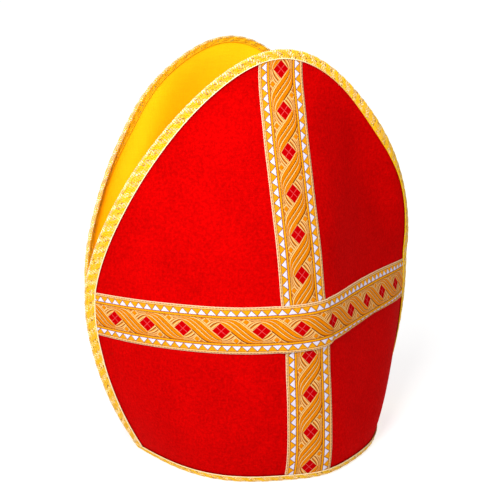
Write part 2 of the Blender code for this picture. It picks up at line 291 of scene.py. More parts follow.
def edge_turns(count, foot):
    """Turns of the outline at even spacing, from the left foot over the top to the right foot."""
    limit = np.sqrt(1 - foot / PANEL_HEIGHT)
    turns = np.linspace(-limit, limit, OUTLINE_SAMPLES)
    lengths = run_length(place(*edge(turns), 0.0))
    return np.interp(np.linspace(0, lengths[-1], count), lengths, turns)


def inward_walk(turns, reach, steps):
    """Places (turn, step) reached by walking in from the outline over the cloth, level near the foot."""
    x, height = edge(turns)
    ahead, behind = (place(*edge(np.clip(turns + step, -1, 1)), 0.0) for step in (SMALL, -SMALL))
    level_share = np.clip(1 - (height - HEM_BRAID_WIDTH) / LEVEL_RISE, 0, 1)[:, None]
    walked = [(x, height)]
    for _ in range(steps):
        sideways, upward = slopes(x, height)
        normal = np.stack([-sideways, -np.ones_like(x), -upward], axis=-1)
        inward = unit(np.cross(ahead - behind, normal))
        level = unit(np.stack([-np.sign(turns), np.sign(turns) * sideways, 0 * x], axis=-1))
        inward = unit(inward + (level - inward) * level_share) * (reach / steps)
        x, height = x + inward[:, 0], height + inward[:, 2]
        walked.append((x, height))
    return np.array(walked).transpose(2, 0, 1)


def eased(share):
    """The share between 0 and 1, with a soft start and end."""
    return share**2 * (3 - 2 * share)


# ---- meshes

def grid_faces(rows, columns, closed=False):
    """Four-cornered faces of a grid whose last column may join its first."""
    bands = columns if closed else columns - 1
    row, col = np.meshgrid(np.arange(rows - 1), np.arange(bands), indexing="ij")
    here, after = row * columns + col, row * columns + (col + 1) % columns
    return np.stack([here, after, after + columns, here + columns], axis=-1).reshape(-1, 4)


def rim_of(rows, columns):
    """Corners round the outside of a grid, in order."""
    grid = np.arange(rows * columns).reshape(rows, columns)
    return np.concatenate([grid[0], grid[1:, -1], grid[-1, -2::-1], grid[-2:0:-1, 0]])


def listed(*grids):
    """The points of all grids in one list."""
    return np.concatenate([grid.reshape(-1, grid.shape[-1]) for grid in grids])


def cloth_shell(under, over):
    """Closed shell between two grids of the same size."""
    rows, columns = over.shape[:2]
    count = rows * columns
    faces, rim = grid_faces(rows, columns), rim_of(rows, columns)
    after = np.roll(rim, -1)
    wall = np.stack([rim, after, after + count, rim + count], axis=-1)
    return listed(under, over), np.concatenate([faces[:, ::-1], faces + count, wall])


def faced_outward(points, faces):
    """The same faces, turned over if the closed shape they make is inside out."""
    a, b, c, d = (points[faces[:, k]] for k in range(4))
    volume = np.einsum("ij,ij->", a, np.cross(b, c)) + np.einsum("ij,ij->", a, np.cross(c, d))
    return faces if volume > 0 else faces[:, ::-1]


def new_piece(name, points, faces, finish, slot, node=None, uv=None, tint=None, ends=()):
    """A finished cloth piece: a closed mesh at the origin that rides with the mitre.

    uv and tint are per point. ends are extra many-cornered faces, and coinciding points are joined.
    """
    faces = faced_outward(points, faces)
    mesh = bpy.data.meshes.new(name)
    mesh.from_pydata(points * MM, [], [*faces.tolist(), *ends])
    loops = np.empty(len(mesh.loops), int)
    mesh.loops.foreach_get("vertex_index", loops)
    if uv is not None:
        mesh.uv_layers.new(name="cloth").data.foreach_set("uv", uv[loops].astype(np.float32).ravel())
    if tint is not None:
        set_attribute(mesh, "tint", tint)
    shape = bmesh.new()
    shape.from_mesh(mesh)
    bmesh.ops.remove_doubles(shape, verts=shape.verts, dist=SMALL * MM)
    if ends:
        bmesh.ops.recalc_face_normals(shape, faces=shape.faces)
    shape.to_mesh(mesh)
    shape.free()
    mesh.shade_smooth()
    mesh.materials.append(finish)
    add_to_mitre(name, mesh, slot, node)


def set_attribute(mesh, label, values):
    """A number or a direction kept on each point."""
    kind, field = ("FLOAT_VECTOR", "vector") if values.ndim > 1 else ("FLOAT", "value")
    data = mesh.attributes.new(label, kind, "POINT").data
    data.foreach_set(field, values.astype(np.float32).ravel())


def put_in_scene(name, data):
    thing = bpy.data.objects.new(name, data)
    bpy.context.scene.collection.objects.link(thing)
    return thing


def add_to_mitre(name, mesh, slot, node=None):
    piece = put_in_scene(name, mesh)
    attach(piece, "root")
    if node:
        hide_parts(node)


# ---- figure of the ribbon

class Signal:
    """A number carried by a shader node, so that one figure can be both painted and embossed."""

    def __init__(self, socket):
        self.socket = socket

    def math(self, operation, *others, clamp=False):
        tree, values = self.socket.id_data, dict(enumerate((self, *others)))
        return Signal(add_node(tree, "ShaderNodeMath", values, operation=operation, use_clamp=clamp)[0])

    __add__ = __radd__ = partialmethod(math, "ADD")
    __mul__ = __rmul__ = partialmethod(math, "MULTIPLY")
    __sub__ = partialmethod(math, "SUBTRACT")
    __rsub__ = partialmethod(math, "MULTIPLY_ADD", -1.0)
    __truediv__ = partialmethod(math, "DIVIDE")
    __neg__ = partialmethod(math, "MULTIPLY", -1.0)


def either(kind, a, b, soft=0.0):
    """The smaller (-1) or larger (1) of two numbers, rounded off over a soft distance."""
    if isinstance(a, Signal):
        word = "MIN" if kind < 0 else "MAX"
        return a.math("SMOOTH_" + word, b, soft) if soft else a.math(word + "IMUM", b)
    plain = np.minimum(a, b) if kind < 0 else np.maximum(a, b)
    if not soft:
        return plain
    return plain + kind * np.maximum(soft - abs(a - b), 0) ** 3 / (6 * soft**2)


def least(a, b, soft=0.0):
    return either(-1, a, b, soft)


def most(a, b, soft=0.0):
    return either(1, a, b, soft)


def magnitude(a):
    return a.math("ABSOLUTE") if isinstance(a, Signal) else np.abs(a)


def cycle(a, period):
    return a.math("FLOORED_MODULO", period) if isinstance(a, Signal) else np.mod(a, period)


def limited(a):
    return a.math("ADD", 0.0, clamp=True) if isinstance(a, Signal) else np.clip(a, 0, 1)


def ramp(a, start, end):
    """0 before start, 1 after end, and straight between."""
    return limited((a - start) * (1 / (end - start)))


def within(a, low, high, blur):
    """1 between two values and 0 outside them."""
    return least(ramp(a, low - blur, low + blur), ramp(a, high + blur, high - blur))


def galloon_figure(across, along):
    """Distances to the parts of the woven figure, in band units, from places in millimetres.

    A plait of three stripes swings from rail to rail over its mirror image, between diamonds. Rails
    and two rows of teeth border it on each side.
    """
    u = across * (BAND_UNITS / RIBBON_WIDTH)
    v = cycle(along, REPEAT) * (REPEAT_UNITS / REPEAT)
    out = magnitude(u)
    near = REPEAT_UNITS / 2 - magnitude(v - REPEAT_UNITS / 2)
    signed = cycle(v + REPEAT_UNITS / 2, REPEAT_UNITS) - REPEAT_UNITS / 2
    edges = [least(most(v - start, left, PLAIT_BEND), right, PLAIT_BEND) for left, right, start in PLAIT]

    def plait(turned):
        parts = [limited((a - turned) / (a - b)) for a, b in zip(edges, edges[1:])]
        return parts[0] + parts[1] + parts[2], most(turned - edges[0], edges[-1] - turned)

    def seed(turned, share):
        return magnitude(turned - SEED_OUT) + magnitude(v - share * REPEAT_UNITS)

    over, over_rim = plait(u)
    under, under_rim = plait(-u)
    slanted = along * (TEETH_PER_REPEAT / REPEAT) - u * TOOTH_SLANT
    tooth = magnitude(cycle(slanted + (0.5 - TOOTH_START), 1.0) - 0.5)
    return {
        "out": out,
        "diamond": out * DIAMOND_SLIMNESS + near,
        "cross": least(magnitude(u - signed), magnitude(u + signed)),
        "over": over, "over_rim": over_rim, "under": under, "under_rim": under_rim,
        "seed": least(seed(-u, 1 - SEED_ALONG), seed(u, SEED_ALONG)),
        "tooth": tooth * 2.0 - (TEETH[1] - out) * (1 / TOOTH_LENGTH),
        "dash": cycle(along * (DASHES_PER_REPEAT / REPEAT), 1.0),
    }


def galloon_relief(across, along):
    """Height of the woven figure in millimetres."""
    f = galloon_figure(across, along)
    out = f["out"]
    field = within(out, -1, 10.4, 0.3)
    over = ramp(f["over_rim"], 0.3, -0.3) * field
    under = ramp(f["under_rim"], 0.3, -0.3) * field * (1 - over)
    round_stripe = 1 - (2 * np.mod(f["over"], 1.0) - 1) ** 2
    relief = GROUND_RISE + PLAIT_RISE * over * (0.3 + 0.7 * round_stripe) + UNDER_RISE * under
    relief = relief + SEED_RISE * ramp(f["seed"], 2.4, 1.6) * (1 - over) * field
    diamond = ramp(f["diamond"], DIAMOND + 0.4, DIAMOND - 0.4)
    relief = relief * (1 - diamond) + diamond * (DIAMOND_RISE - CROSS_DIP * ramp(f["cross"], 0.6, 0.1))
    for low, high, soft, rise in RAISED_STRIPES:
        relief = relief + rise * within(out, low, high, soft)
    return relief + TOOTH_RISE * within(out, 12.9, TEETH[1], 0.2) * ramp(f["tooth"], 0.06, -0.06)


# ---- shader pieces

def linear(*display):
    """A colour given as red, green and blue display values up to 255."""
    shares = (value / 255 for value in display)
    return (*(v / 12.92 if v <= 0.04045 else ((v + 0.055) / 1.055) ** 2.4 for v in shares), 1.0)


def node_group(name, inputs, outputs, kind="Shader"):
    """An empty group of nodes, the sockets it is given and its output node."""
    group = bpy.data.node_groups.new(name, kind + "NodeTree")
    for direction, sockets in (("INPUT", inputs), ("OUTPUT", outputs)):
        for label, holds in sockets.items():
            group.interface.new_socket(label, in_out=direction, socket_type="NodeSocket" + holds)
    return group, add_node(group, "NodeGroupInput"), group.nodes.new("NodeGroupOutput")


def feed(node, key, value):
    """Gives one input of a node a constant, or links a socket to it."""
    if isinstance(value, Signal):
        value = value.socket
    if isinstance(value, bpy.types.NodeSocket):
        node.id_data.links.new(value, node.inputs[key])
    else:
        node.inputs[key].default_value = value


def add_node(tree, kind, values=None, **settings):
    """Outputs of a new node with settings, whose inputs are given constants or linked sockets."""
    node = tree.nodes.new(kind)
    for key, value in settings.items():
        setattr(node, key, value)
    for key, value in (values or {}).items():
        feed(node, key, value)
    return node.outputs


def blended(tree, share, first, second):
    """Colour that goes from first to second as share goes from 0 to 1."""
    return add_node(tree, "ShaderNodeMix", {0: share, 6: first, 7: second}, data_type="RGBA")[2]


def make_weave_group():
    """Plain-woven threads: a height and a light-dark streak, from cloth places in millimetres."""
    group, given, result = node_group(
        "plain_weave", {"Cloth": "Vector", "Threads per mm": "Float", "Streak length": "Float"},
        {"Height": "Float", "Streak": "Float"},
    )
    cloth = add_node(group, "ShaderNodeSeparateXYZ", {0: given["Cloth"]})
    density, length = Signal(given["Threads per mm"]), Signal(given["Streak length"])
    x, y = (Signal(cloth[k]) * density for k in (0, 1))
    warp, weft = ((threads * np.pi).math("SINE").math("ABSOLUTE") for threads in (x, y))
    odd = cycle(x.math("FLOOR") + y.math("FLOOR"), 2.0)
    feed(result, "Height", warp * odd + weft * (1 - odd))
    streaks = []
    for along, across in ((0, 1), (1, 0)):
        parts = {along: Signal(cloth[along]) / length, across: Signal(cloth[across]) * 1.4}
        joined = add_node(group, "ShaderNodeCombineXYZ", parts)[0]
        noise = {"Vector": joined, "Scale": 1.0, "Detail": 2.0}
        streaks.append(Signal(add_node(group, "ShaderNodeTexNoise", noise)[0]))
    feed(result, "Streak", (streaks[0] + streaks[1]) * 0.5)
    return group


def make_mottle_group():
    """Broad and fine unevenness of a dyed surface, from object places."""
    group, given, result = node_group(
        "soft_mottle", {"Place": "Vector", "Broad size": "Float", "Fine size": "Float"},
        {"Broad": "Float", "Fine": "Float"},
    )
    for label in ("Broad", "Fine"):
        scale = Signal(given[f"{label} size"]).math("POWER", -1.0)
        noise = {"Vector": given["Place"], "Scale": scale, "Detail": 3.0, "Roughness": 0.6}
        feed(result, label, add_node(group, "ShaderNodeTexNoise", noise)[0])
    return group


def make_galloon_group():
    """Colours and thread height of the figured ribbon, from cloth places in millimetres."""
    group, given, result = node_group(
        "galloon_figure", {"Cloth": "Vector"}, {"Color": "Color", "Height": "Float", "Gold": "Float"}
    )
    cloth = add_node(group, "ShaderNodeSeparateXYZ", {0: given["Cloth"]})
    across, along = Signal(cloth[0]), Signal(cloth[1])
    f = galloon_figure(across, along)
    out, seed, cross, rim, tooth = f["out"], f["seed"], f["cross"], f["over_rim"], f["tooth"]
    blur = 0.12
    cream, dark, pale = linear(218, 172, 104), linear(92, 42, 20), linear(214, 180, 142)
    orange, gold, ground = linear(212, 118, 2), linear(216, 142, 14), linear(176, 98, 34)
    white, red, rose = linear(204, 198, 216), linear(172, 0, 3), linear(214, 84, 86)
    color = ground

    def paint(share, new_color):
        nonlocal color
        color = blended(group, share, color, new_color)

    # the plait that lies below, the seeds and the upper plait's rim
    field = ramp(out, 10.5, 10.3)
    over = ramp(rim, 0.1, -0.1) * field
    under = ramp(f["under_rim"], 0.1, -0.1) * field * (1 - over)
    thin = cycle(f["under"] * 1.6, 1.0)
    beside = 1 - within(f["under"], 1.1, 1.9, 0.05)
    paint(under * within(thin, 0.05, 0.45, 0.08), cream)
    paint(under * beside * within(thin, 0.5, 0.75, 0.06) * 0.8, dark)
    paint(under * beside * ramp(thin, 0.78, 0.86), orange)
    seed_field = field * (1 - over)
    paint(seed_field * within(seed, 2.5, 3.5, 0.2), cream)
    paint(seed_field * within(seed, 2.1, 2.5, 0.15) * 0.7, dark)
    paint(seed_field * ramp(seed, 2.2, 2.0), orange)
    paint(seed_field * within(rim, 0.0, 0.45, 0.1) * 0.8, dark)
    paint(seed_field * within(rim, 0.55, 1.25, 0.12), cream)

    # the plait that lies above
    stripe = cycle(f["over"], 1.0)
    paint(over, orange)
    paint(over * ramp(stripe, 0.78, 0.82), cream)
    paint(over * within(stripe, 0.68, 0.77, 0.03) * 0.7, dark)
    paint(over * ramp(stripe, 0.15, 0.11), dark)

    # diamonds, by the distance from their outline
    beyond = f["diamond"] - DIAMOND
    paint(ramp(beyond, 0.9, 0.6), cream)
    paint(ramp(beyond, 0.4, 0.2) * 0.6, dark)
    paint(ramp(beyond, 0.15, -0.05), red)
    paint(ramp(beyond, -0.2, -0.6) * ramp(cross, 0.42, 0.2) * 0.6, rose)

    # rails, teeth and selvage
    paint(ramp(out, 10.2, 10.4), ground)
    dashes = within(f["dash"], 0.2, 0.75, 0.06)
    for low, high in DARK_LINES:
        paint(within(out, low, high, 0.1) * (0.25 + 0.6 * dashes), dark)
    paint(within(out, *RAIL, blur), gold)
    teeth = within(out, *TEETH, blur)
    paint(teeth, gold)
    paint(teeth * ramp(tooth, 0.14, 0.03), dark)
    paint(teeth * ramp(tooth, -0.02, -0.10), white)
    paint(within(out, *SELVAGE_CORD, blur), cream)
    paint(within(out, *SELVAGE, blur), pale)
    paint(within(out, 18.7, 19.5, blur) * dashes * 0.5, dark)

    feed(result, "Color", color)
    ribs = (along * (2 * np.pi * 2.6)).math("SINE")
    floats = ((along * 0.7 + across) * (2 * np.pi * 1.9)).math("SINE")
    calm = ramp(beyond, 0.4, 0.0)
    feed(result, "Height", ribs * (1 - over) * 0.5 + floats * over * 0.6)
    feed(result, "Gold", (over * 0.7 + 0.3) * (1 - calm))
    return group


def new_finish(name, **sockets):
    """A material with its shader's constant sockets set, its nodes and its shader."""
    finish = bpy.data.materials.new(name)
    finish.use_nodes = True
    tree = finish.node_tree
    shader = tree.nodes["Principled BSDF"]
    for label, value in sockets.items():
        feed(shader, label.replace("_", " "), value)
    return finish, tree, shader


def raise_threads(shader, height, distance, strength=0.6):
    """Bump from a height between 0 and 1 that stands for a real distance in millimetres."""
    values = {"Strength": strength, "Distance": distance * MM, "Height": height}
    feed(shader, "Normal", add_node(shader.id_data, "ShaderNodeBump", values)[0])


def mottled_surface(tree, mottle, broad, fine):
    """Cloth places of a surface, and its unevenness at a broad and a fine size in metres."""
    where = add_node(tree, "ShaderNodeTexCoord")
    values = {"Place": where["Object"], "Broad size": broad, "Fine size": fine}
    mottled = add_node(tree, "ShaderNodeGroup", values, node_tree=mottle)
    return where["UV"], Signal(mottled["Broad"]), Signal(mottled["Fine"])


def woven_threads(tree, weave, cloth, density, streak_length):
    """Height and streak of plain-woven threads, so many to a millimetre."""
    values = {"Cloth": cloth, "Threads per mm": density, "Streak length": streak_length}
    woven = add_node(tree, "ShaderNodeGroup", values, node_tree=weave)
    return Signal(woven["Height"]), Signal(woven["Streak"])


def make_velvet(weave, mottle):
    finish, tree, shader = new_finish(
        "red_velvet", Specular_IOR_Level=0.015, Sheen_Weight=0.2, Sheen_Roughness=0.45,
        Sheen_Tint=linear(255, 0, 0),
    )
    cloth, broad, fine = mottled_surface(tree, mottle, 0.035, 0.0019)
    height, streak = woven_threads(tree, weave, cloth, 1.6, 16.0)
    nap = ramp(streak * 0.25 + broad * 0.2 + fine * 0.55, 0.34, 0.66)
    feed(shader, "Base Color", blended(tree, nap, linear(143, 0, 0), linear(190, 0, 0)))
    feed(shader, "Roughness", 0.98 - 0.14 * nap)
    raise_threads(shader, fine * 0.7 + height * 0.3, 0.35)
    return finish


def make_lining_cloth(weave, mottle):
    finish, tree, shader = new_finish(
        "yellow_lining", Specular_IOR_Level=0.06, Sheen_Weight=0.1, Sheen_Roughness=0.5,
        Sheen_Tint=linear(255, 200, 0),
    )
    cloth, broad, _ = mottled_surface(tree, mottle, 0.05, 0.002)
    height, streak = woven_threads(tree, weave, cloth, 2.4, 25.0)
    tone = ramp(streak * 0.5 + broad * 0.5, 0.36, 0.64)
    feed(shader, "Base Color", blended(tree, tone, linear(250, 168, 0), linear(252, 182, 0)))
    feed(shader, "Roughness", 0.66 - 0.12 * tone)
    raise_threads(shader, height, 0.12, 0.5)
    return finish


def make_galloon_cloth(galloon, weave, mottle):
    finish, tree, shader = new_finish("figured_galloon", Specular_IOR_Level=0.0, Anisotropic=0.3)
    cloth, _, fine = mottled_surface(tree, mottle, 0.02, 0.0009)
    height, streak = woven_threads(tree, weave, cloth, 2.8, 6.0)
    figure = add_node(tree, "ShaderNodeGroup", {"Cloth": cloth}, node_tree=galloon)
    worn = fine * 0.5 + streak * 0.5
    values = {"Value": 0.765 + 0.345 * worn, "Color": figure["Color"]}
    feed(shader, "Base Color", add_node(tree, "ShaderNodeHueSaturation", values)[0])
    gold = Signal(figure["Gold"])
    feed(shader, "Metallic", 0.22 * gold)
    feed(shader, "Roughness", 0.62 - 0.2 * gold + 0.12 * worn)
    raise_threads(shader, Signal(figure["Height"]) * 0.5 + height * 0.5, 0.16)
    return finish


def make_gold_thread(name, mottle):
    """Metal thread whose colour runs through GOLD_STOPS with the tint kept on each strand."""
    finish, tree, shader = new_finish(name, Specular_IOR_Level=0.12, Anisotropic=0.4)
    _, broad, fine = mottled_surface(tree, mottle, 0.006, 0.0007)
    own = Signal(add_node(tree, "ShaderNodeAttribute", attribute_name="tint")["Fac"])
    tone = own + (broad - 0.5) * 0.1
    stops = [(level, linear(*display)) for level, display in GOLD_STOPS]
    darkest = stops[0][1]
    color = darkest
    for (low, _), (high, after) in zip(stops, stops[1:]):
        color = blended(tree, ramp(tone, low, high), color, after)
    feed(shader, "Base Color", blended(tree, ramp(fine, 0.6, 0.72) * 0.25, color, darkest))
    feed(shader, "Metallic", 0.08 + 0.14 * fine)
    feed(shader, "Roughness", 0.48 + 0.24 * broad)
    raise_threads(shader, fine, 0.12, 0.5)
    return finish


# ---- laid strands

def make_strand_tree():
    """One spindle-shaped strand on each place, laid along its own direction, with a slight scatter."""
    inputs = {"Places": "Geometry", "Seed": "Int", "Finish": "Material"}
    inputs.update(dict.fromkeys(("Length", "Width", "Height", "Scatter"), "Float"))
    tree, given, result = node_group("laid_strands", inputs, {"Strands": "Geometry"}, "Geometry")

    def step(kind, values, output=0, **settings):
        return add_node(tree, kind, values, **settings)[output]

    spindle = step("GeometryNodeMeshUVSphere", {"Segments": 4, "Rings": 3, "Radius": 0.5})
    along_x = step("GeometryNodeTransform", {"Geometry": spindle, "Rotation": (0, np.pi / 2, 0)})
    size = step("ShaderNodeCombineXYZ", {0: given["Length"], 1: given["Width"], 2: given["Height"]})
    sized = step("GeometryNodeTransform", {"Geometry": along_x, "Scale": size})
    turn = (0, 0, 0)
    for name, axis, pivot in (("along", "X", "AUTO"), ("outward", "Z", "X")):
        way = step("GeometryNodeInputNamedAttribute", {"Name": name}, data_type="FLOAT_VECTOR")
        values = {"Rotation": turn, "Vector": way}
        turn = step("FunctionNodeAlignRotationToVector", values, axis=axis, pivot_axis=pivot)
    limits = {0: 1.0, 1: given["Scatter"]}
    low, high = (step("ShaderNodeMath", limits, operation=way) for way in ("SUBTRACT", "ADD"))
    values = {2: low, 3: high, "Seed": given["Seed"]}
    drawn = step("FunctionNodeRandomValue", values, 1, data_type="FLOAT")
    own = step("GeometryNodeInputNamedAttribute", {"Name": "size"}, data_type="FLOAT")
    values = {
        "Points": given["Places"], "Instance": sized, "Rotation": turn,
        "Scale": step("ShaderNodeMath", {0: drawn, 1: own}, operation="MULTIPLY"),
    }
    laid = step("GeometryNodeInstanceOnPoints", values)
    solid = step("GeometryNodeRealizeInstances", {"Geometry": laid})
    smooth = step("GeometryNodeSetShadeSmooth", {"Geometry": solid})
    feed(result, 0, step("GeometryNodeSetMaterial", {"Geometry": smooth, "Material": given["Finish"]}))
    return tree


def lay_strands(name, tree, points, marks, finish, seed):
    """Strands laid at points by the tree, as one plain mesh that rides with the mitre.

    marks are the directions and numbers kept on the points.
    """
    mesh = bpy.data.meshes.new(name + "_places")
    mesh.from_pydata(points * MM, [], [])
    for label, values in marks.items():
        set_attribute(mesh, label, values)
    holder = put_in_scene(name + "_places", mesh)
    layer = holder.modifiers.new("strands", "NODES")
    layer.node_group = tree
    keys = {s.name: s.identifier for s in tree.interface.items_tree if s.in_out == "INPUT"}
    lengths = {label: size * MM for label, size in STRAND_SIZE.items()}
    for label, value in {"Finish": finish, "Seed": seed, "Scatter": STRAND_SCATTER, **lengths}.items():
        layer[keys[label]] = value
    made = bpy.data.meshes.new_from_object(holder.evaluated_get(bpy.context.evaluated_depsgraph_get()))
    bpy.data.objects.remove(holder)
    made.name = name
    add_to_mitre(name, made, "gold_braid")


# ---- the mitre's pieces

def panel_grid():
    """Rows and columns of the panel cloth, inside the fold of its edge braid."""
    turns = np.linspace(np.sqrt(1 - PANEL_INSET / PANEL_HEIGHT), 0, PANEL_ROWS)
    left, right = (inward_walk(sign * turns, PANEL_INSET, PANEL_STEPS)[:, None, -1] for sign in (-1, 1))
    across = np.sin(np.linspace(-1, 1, PANEL_COLUMNS) * CROWDING) / np.sin(CROWDING)
    return left + (right - left) * ((across + 1) / 2)[:, None]


def make_panels(velvet, lining_cloth):
    grid = panel_grid()
    x, height = grid[..., 0], grid[..., 1]
    uv = listed(grid, grid)
    for side in SIDES:
        for piece, layers, finish, slot in (
            ("panel", PANEL, velvet, "red_felt"), ("lining", LINING, lining_cloth, "yellow_lining"),
        ):
            points, faces = cloth_shell(*(settle(place(x, height, layer), side) for layer in layers))
            new_piece(f"{side}_{piece}_cloth", points, faces, finish, slot, f"{side}_{piece}", uv)


def folded_profile(inner, outer, count, crest):
    """How a braid's skin runs round an edge from its inner to its outer tip: distances in and layers."""
    radius = (BRAID_SKIN[1] - BRAID_SKIN[0]) / 2
    start, bend = inner - radius, np.pi * radius
    run = np.linspace(0, start + bend + outer - radius, count)
    angle = np.clip((run - start) / radius, 0, np.pi)
    inward = radius - radius * np.sin(angle) + crest
    inward = np.where(run < start, inner - run, inward)
    inward = np.where(run > start + bend, run - start - bend + radius, inward)
    return inward, BRAID_SKIN[0] + radius - radius * np.cos(angle)


def walk_under_braid(turns):
    """Places inward from the outline as far as the edge braid reaches, and their distances in."""
    reach = BRAID_WIDTHS[1].max()
    return inward_walk(turns, reach, BRAID_STEPS), np.linspace(0, reach, BRAID_STEPS + 1)


def edge_skin(turns):
    """Points (station, profile) of the edge braid's skin."""
    walk, steps = walk_under_braid(turns)
    x, height, layer, near = np.empty((4, len(turns), EDGE_PROFILE))
    for row, (line, outer) in enumerate(zip(walk, np.interp(turns, *BRAID_WIDTHS))):
        inward, layer[row] = folded_profile(INNER_BRAID_WIDTH, outer, EDGE_PROFILE, EDGE_CREST)
        near[row] = np.clip(1 - inward / SEAM_DRAW, 0, 1) ** 2
        x[row], height[row] = (np.interp(inward, steps, line[:, k]) for k in (0, 1))
    skin = place(x, height, layer)
    held = eased(np.clip(1 - (edge(turns)[1] - PARTING_HEIGHT) / SEAM_RELEASE, 0, 1))
    short = np.maximum(SEAM_REST - skin[..., 1].max(axis=1), 0) * held
    skin[..., 1] += short[:, None] * near / near.max(axis=1, keepdims=True)
    return skin


def hem_skin(stations):
    """The same for the hem, whose stations run from the right side seam (1) to the left (-1)."""
    inward, layer = folded_profile(HEM_BRAID_WIDTH, HEM_BRAID_WIDTH, HEM_PROFILE, HEM_CREST)
    height = np.broadcast_to(inward, (len(stations), HEM_PROFILE))
    return place(stations[:, None] * half_width(height), height, layer)


def frame_on(skin, stations, profile, lean):
    """Points at inner places of a skin, and two directions: along a leaning strand, and outward."""
    ahead = unit(skin[stations + 1, profile] - skin[stations - 1, profile])
    sideways = unit(skin[stations, profile + 1] - skin[stations, profile - 1])
    lean = lean[:, None]
    along = unit(ahead * np.cos(lean) + sideways * np.sin(lean))
    return skin[stations, profile], along, unit(np.cross(sideways, ahead))


def leaf_strands(skin, spread, fold, rows, pitch):
    """Row by row over a braid's skin: places, leans and tints of its strands, and which draw leaves."""
    count, across = skin.shape[:2]
    run = run_length(skin[:, across // 2])
    places = int(run[-1] / pitch)
    for number, share in enumerate((np.arange(rows) + 0.5) / rows):
        marks = (np.arange(places) + 0.25 + 0.5 * (number % 2)) * run[-1] / places
        stations = np.clip(np.round(np.interp(marks, run, np.arange(count))).astype(int), 1, count - 2)
        leg = (share - fold) / (1 - fold if share > fold else fold)
        off = abs(np.mod(marks / LEAF_REPEAT - LEAF_SWEEP * abs(leg), 1) - 0.5)
        leaf = off < LEAF_SHARE
        vein = ~leaf & (off < LEAF_SHARE + VEIN_SHARE)
        lean = np.radians(np.where(leaf | vein, LEAF_LEAN, BETWEEN_LEAN) * (1 if leg > 0 else -1))
        scatter = np.where(leaf, LEAF_SCATTER, BETWEEN_SCATTER)
        tint = np.where(leaf, LEAF_TINT, BETWEEN_TINT) + spread.normal(0, 1, places) * scatter
        # painted shade, with bounce light from the lining, on the leg inside the fold
        tint += (INSIDE_SHADE_TINT - tint) * np.clip(-INSIDE_SHADE_FADE * leg, 0, INSIDE_SHADE_MOST)
        # painted highlight: strands along the crest of the fold are paler
        tint += CREST_HIGHLIGHT * np.clip(1 - abs(leg) / CREST_HIGHLIGHT_REACH, 0, 1)
        if abs(leg) > DARK_FROM:
            tint[vein & (spread.random(places) < DARK_SHARE)] = VEIN_TINT
        yield stations, int(round(share * (across - 1))), lean, tint, leaf


def dress_braid(name, skins, dress, finish, tree, seed):
    """Strands laid over a braid's skins."""
    spread = np.random.default_rng(seed)
    gathered = []
    for skin, side in skins:
        for stations, profile, lean, tint, leaf in leaf_strands(skin, spread, **dress):
            here, along, outward = frame_on(skin, stations, profile, lean)
            here = settle(here + outward * (LEAF_RAISE * leaf[:, None]), side)
            along, outward = (settle_turn(way, side) for way in (along, outward))
            gathered.append((here, along, outward, tint, np.where(leaf, LEAF_SIZE, BETWEEN_SIZE)))
    points, along, outward, tint, size = (np.concatenate(part) for part in zip(*gathered))
    marks = {"along": along, "outward": outward, "tint": np.clip(tint, 0, 1), "size": size}
    lay_strands(name, tree, points, marks, finish, seed)


def settle_turn(directions, side):
    return directions * HALF_TURN if side == "back" else directions


def end_faces(rows, size):
    """Faces over the first and the last of a tube's rings."""
    return [list(range(start, start + size)) for start in (0, (rows - 1) * size)]


def braid_shell(skin):
    """Closed band under a braid's skin, as rings of the profile out and back."""
    ahead, sideways = (unit(np.gradient(skin, axis=axis)) for axis in (0, 1))
    core = skin - unit(np.cross(sideways, ahead)) * BRAID_CLOTH
    rings = np.concatenate([skin, core[:, ::-1]], axis=1)
    rows, size = rings.shape[:2]
    return rings, grid_faces(rows, size, closed=True), end_faces(rows, size)


def add_cord(name, line, radius, tint, finish):
    """Round gold cord along a line of points, with one tint or a tint to each point."""
    ahead = unit(np.gradient(line, axis=0))
    slanting_up = (0.3, 0.2, 1.0)
    across = unit(np.cross(ahead, slanting_up))
    upward = np.cross(across, ahead)
    angle = np.linspace(0, 2 * np.pi, CORD_SIDES, endpoint=False)[None, :, None]
    rings = line[:, None] + radius * (np.cos(angle) * across[:, None] + np.sin(angle) * upward[:, None])
    rows = len(line)
    new_piece(
        name, listed(rings), grid_faces(rows, CORD_SIDES, closed=True), finish, "gold_braid",
        tint=np.repeat(np.broadcast_to(tint, rows), CORD_SIDES), ends=end_faces(rows, CORD_SIDES),
    )


def make_edge_braids(ground, strands, tree):
    turns = edge_turns(EDGE_STATIONS, FOOT_HEIGHT)
    skin = edge_skin(turns)
    rings, faces, ends = braid_shell(skin)
    for number, side in enumerate(SIDES):
        points = listed(settle(rings, side))
        new_piece(
            f"{side}_edge_braid_ground", points, faces, ground, "gold_braid",
            f"{side}_edge_braid", tint=np.full(len(points), GROUND_TINT), ends=ends,
        )
        name = f"{side}_edge_braid_strands"
        dress_braid(name, [(skin, side)], EDGE_DRESS, strands, tree, EDGE_SEED + number)
        # painted shade: the outer cord is cream on the lit left and top and gold on the shaded right
        cream = np.interp(turns, OUTER_CORD_SHADE_TURNS, OUTER_CORD_SHADE_TINTS)
        for tip, label, tint in ((0, "inner", INNER_CORD_TINT), (-1, "outer", cream)):
            line = settle(skin[:, tip], side)
            add_cord(f"{side}_edge_{label}_cord", line, EDGE_CORD_RADIUS, tint, strands)


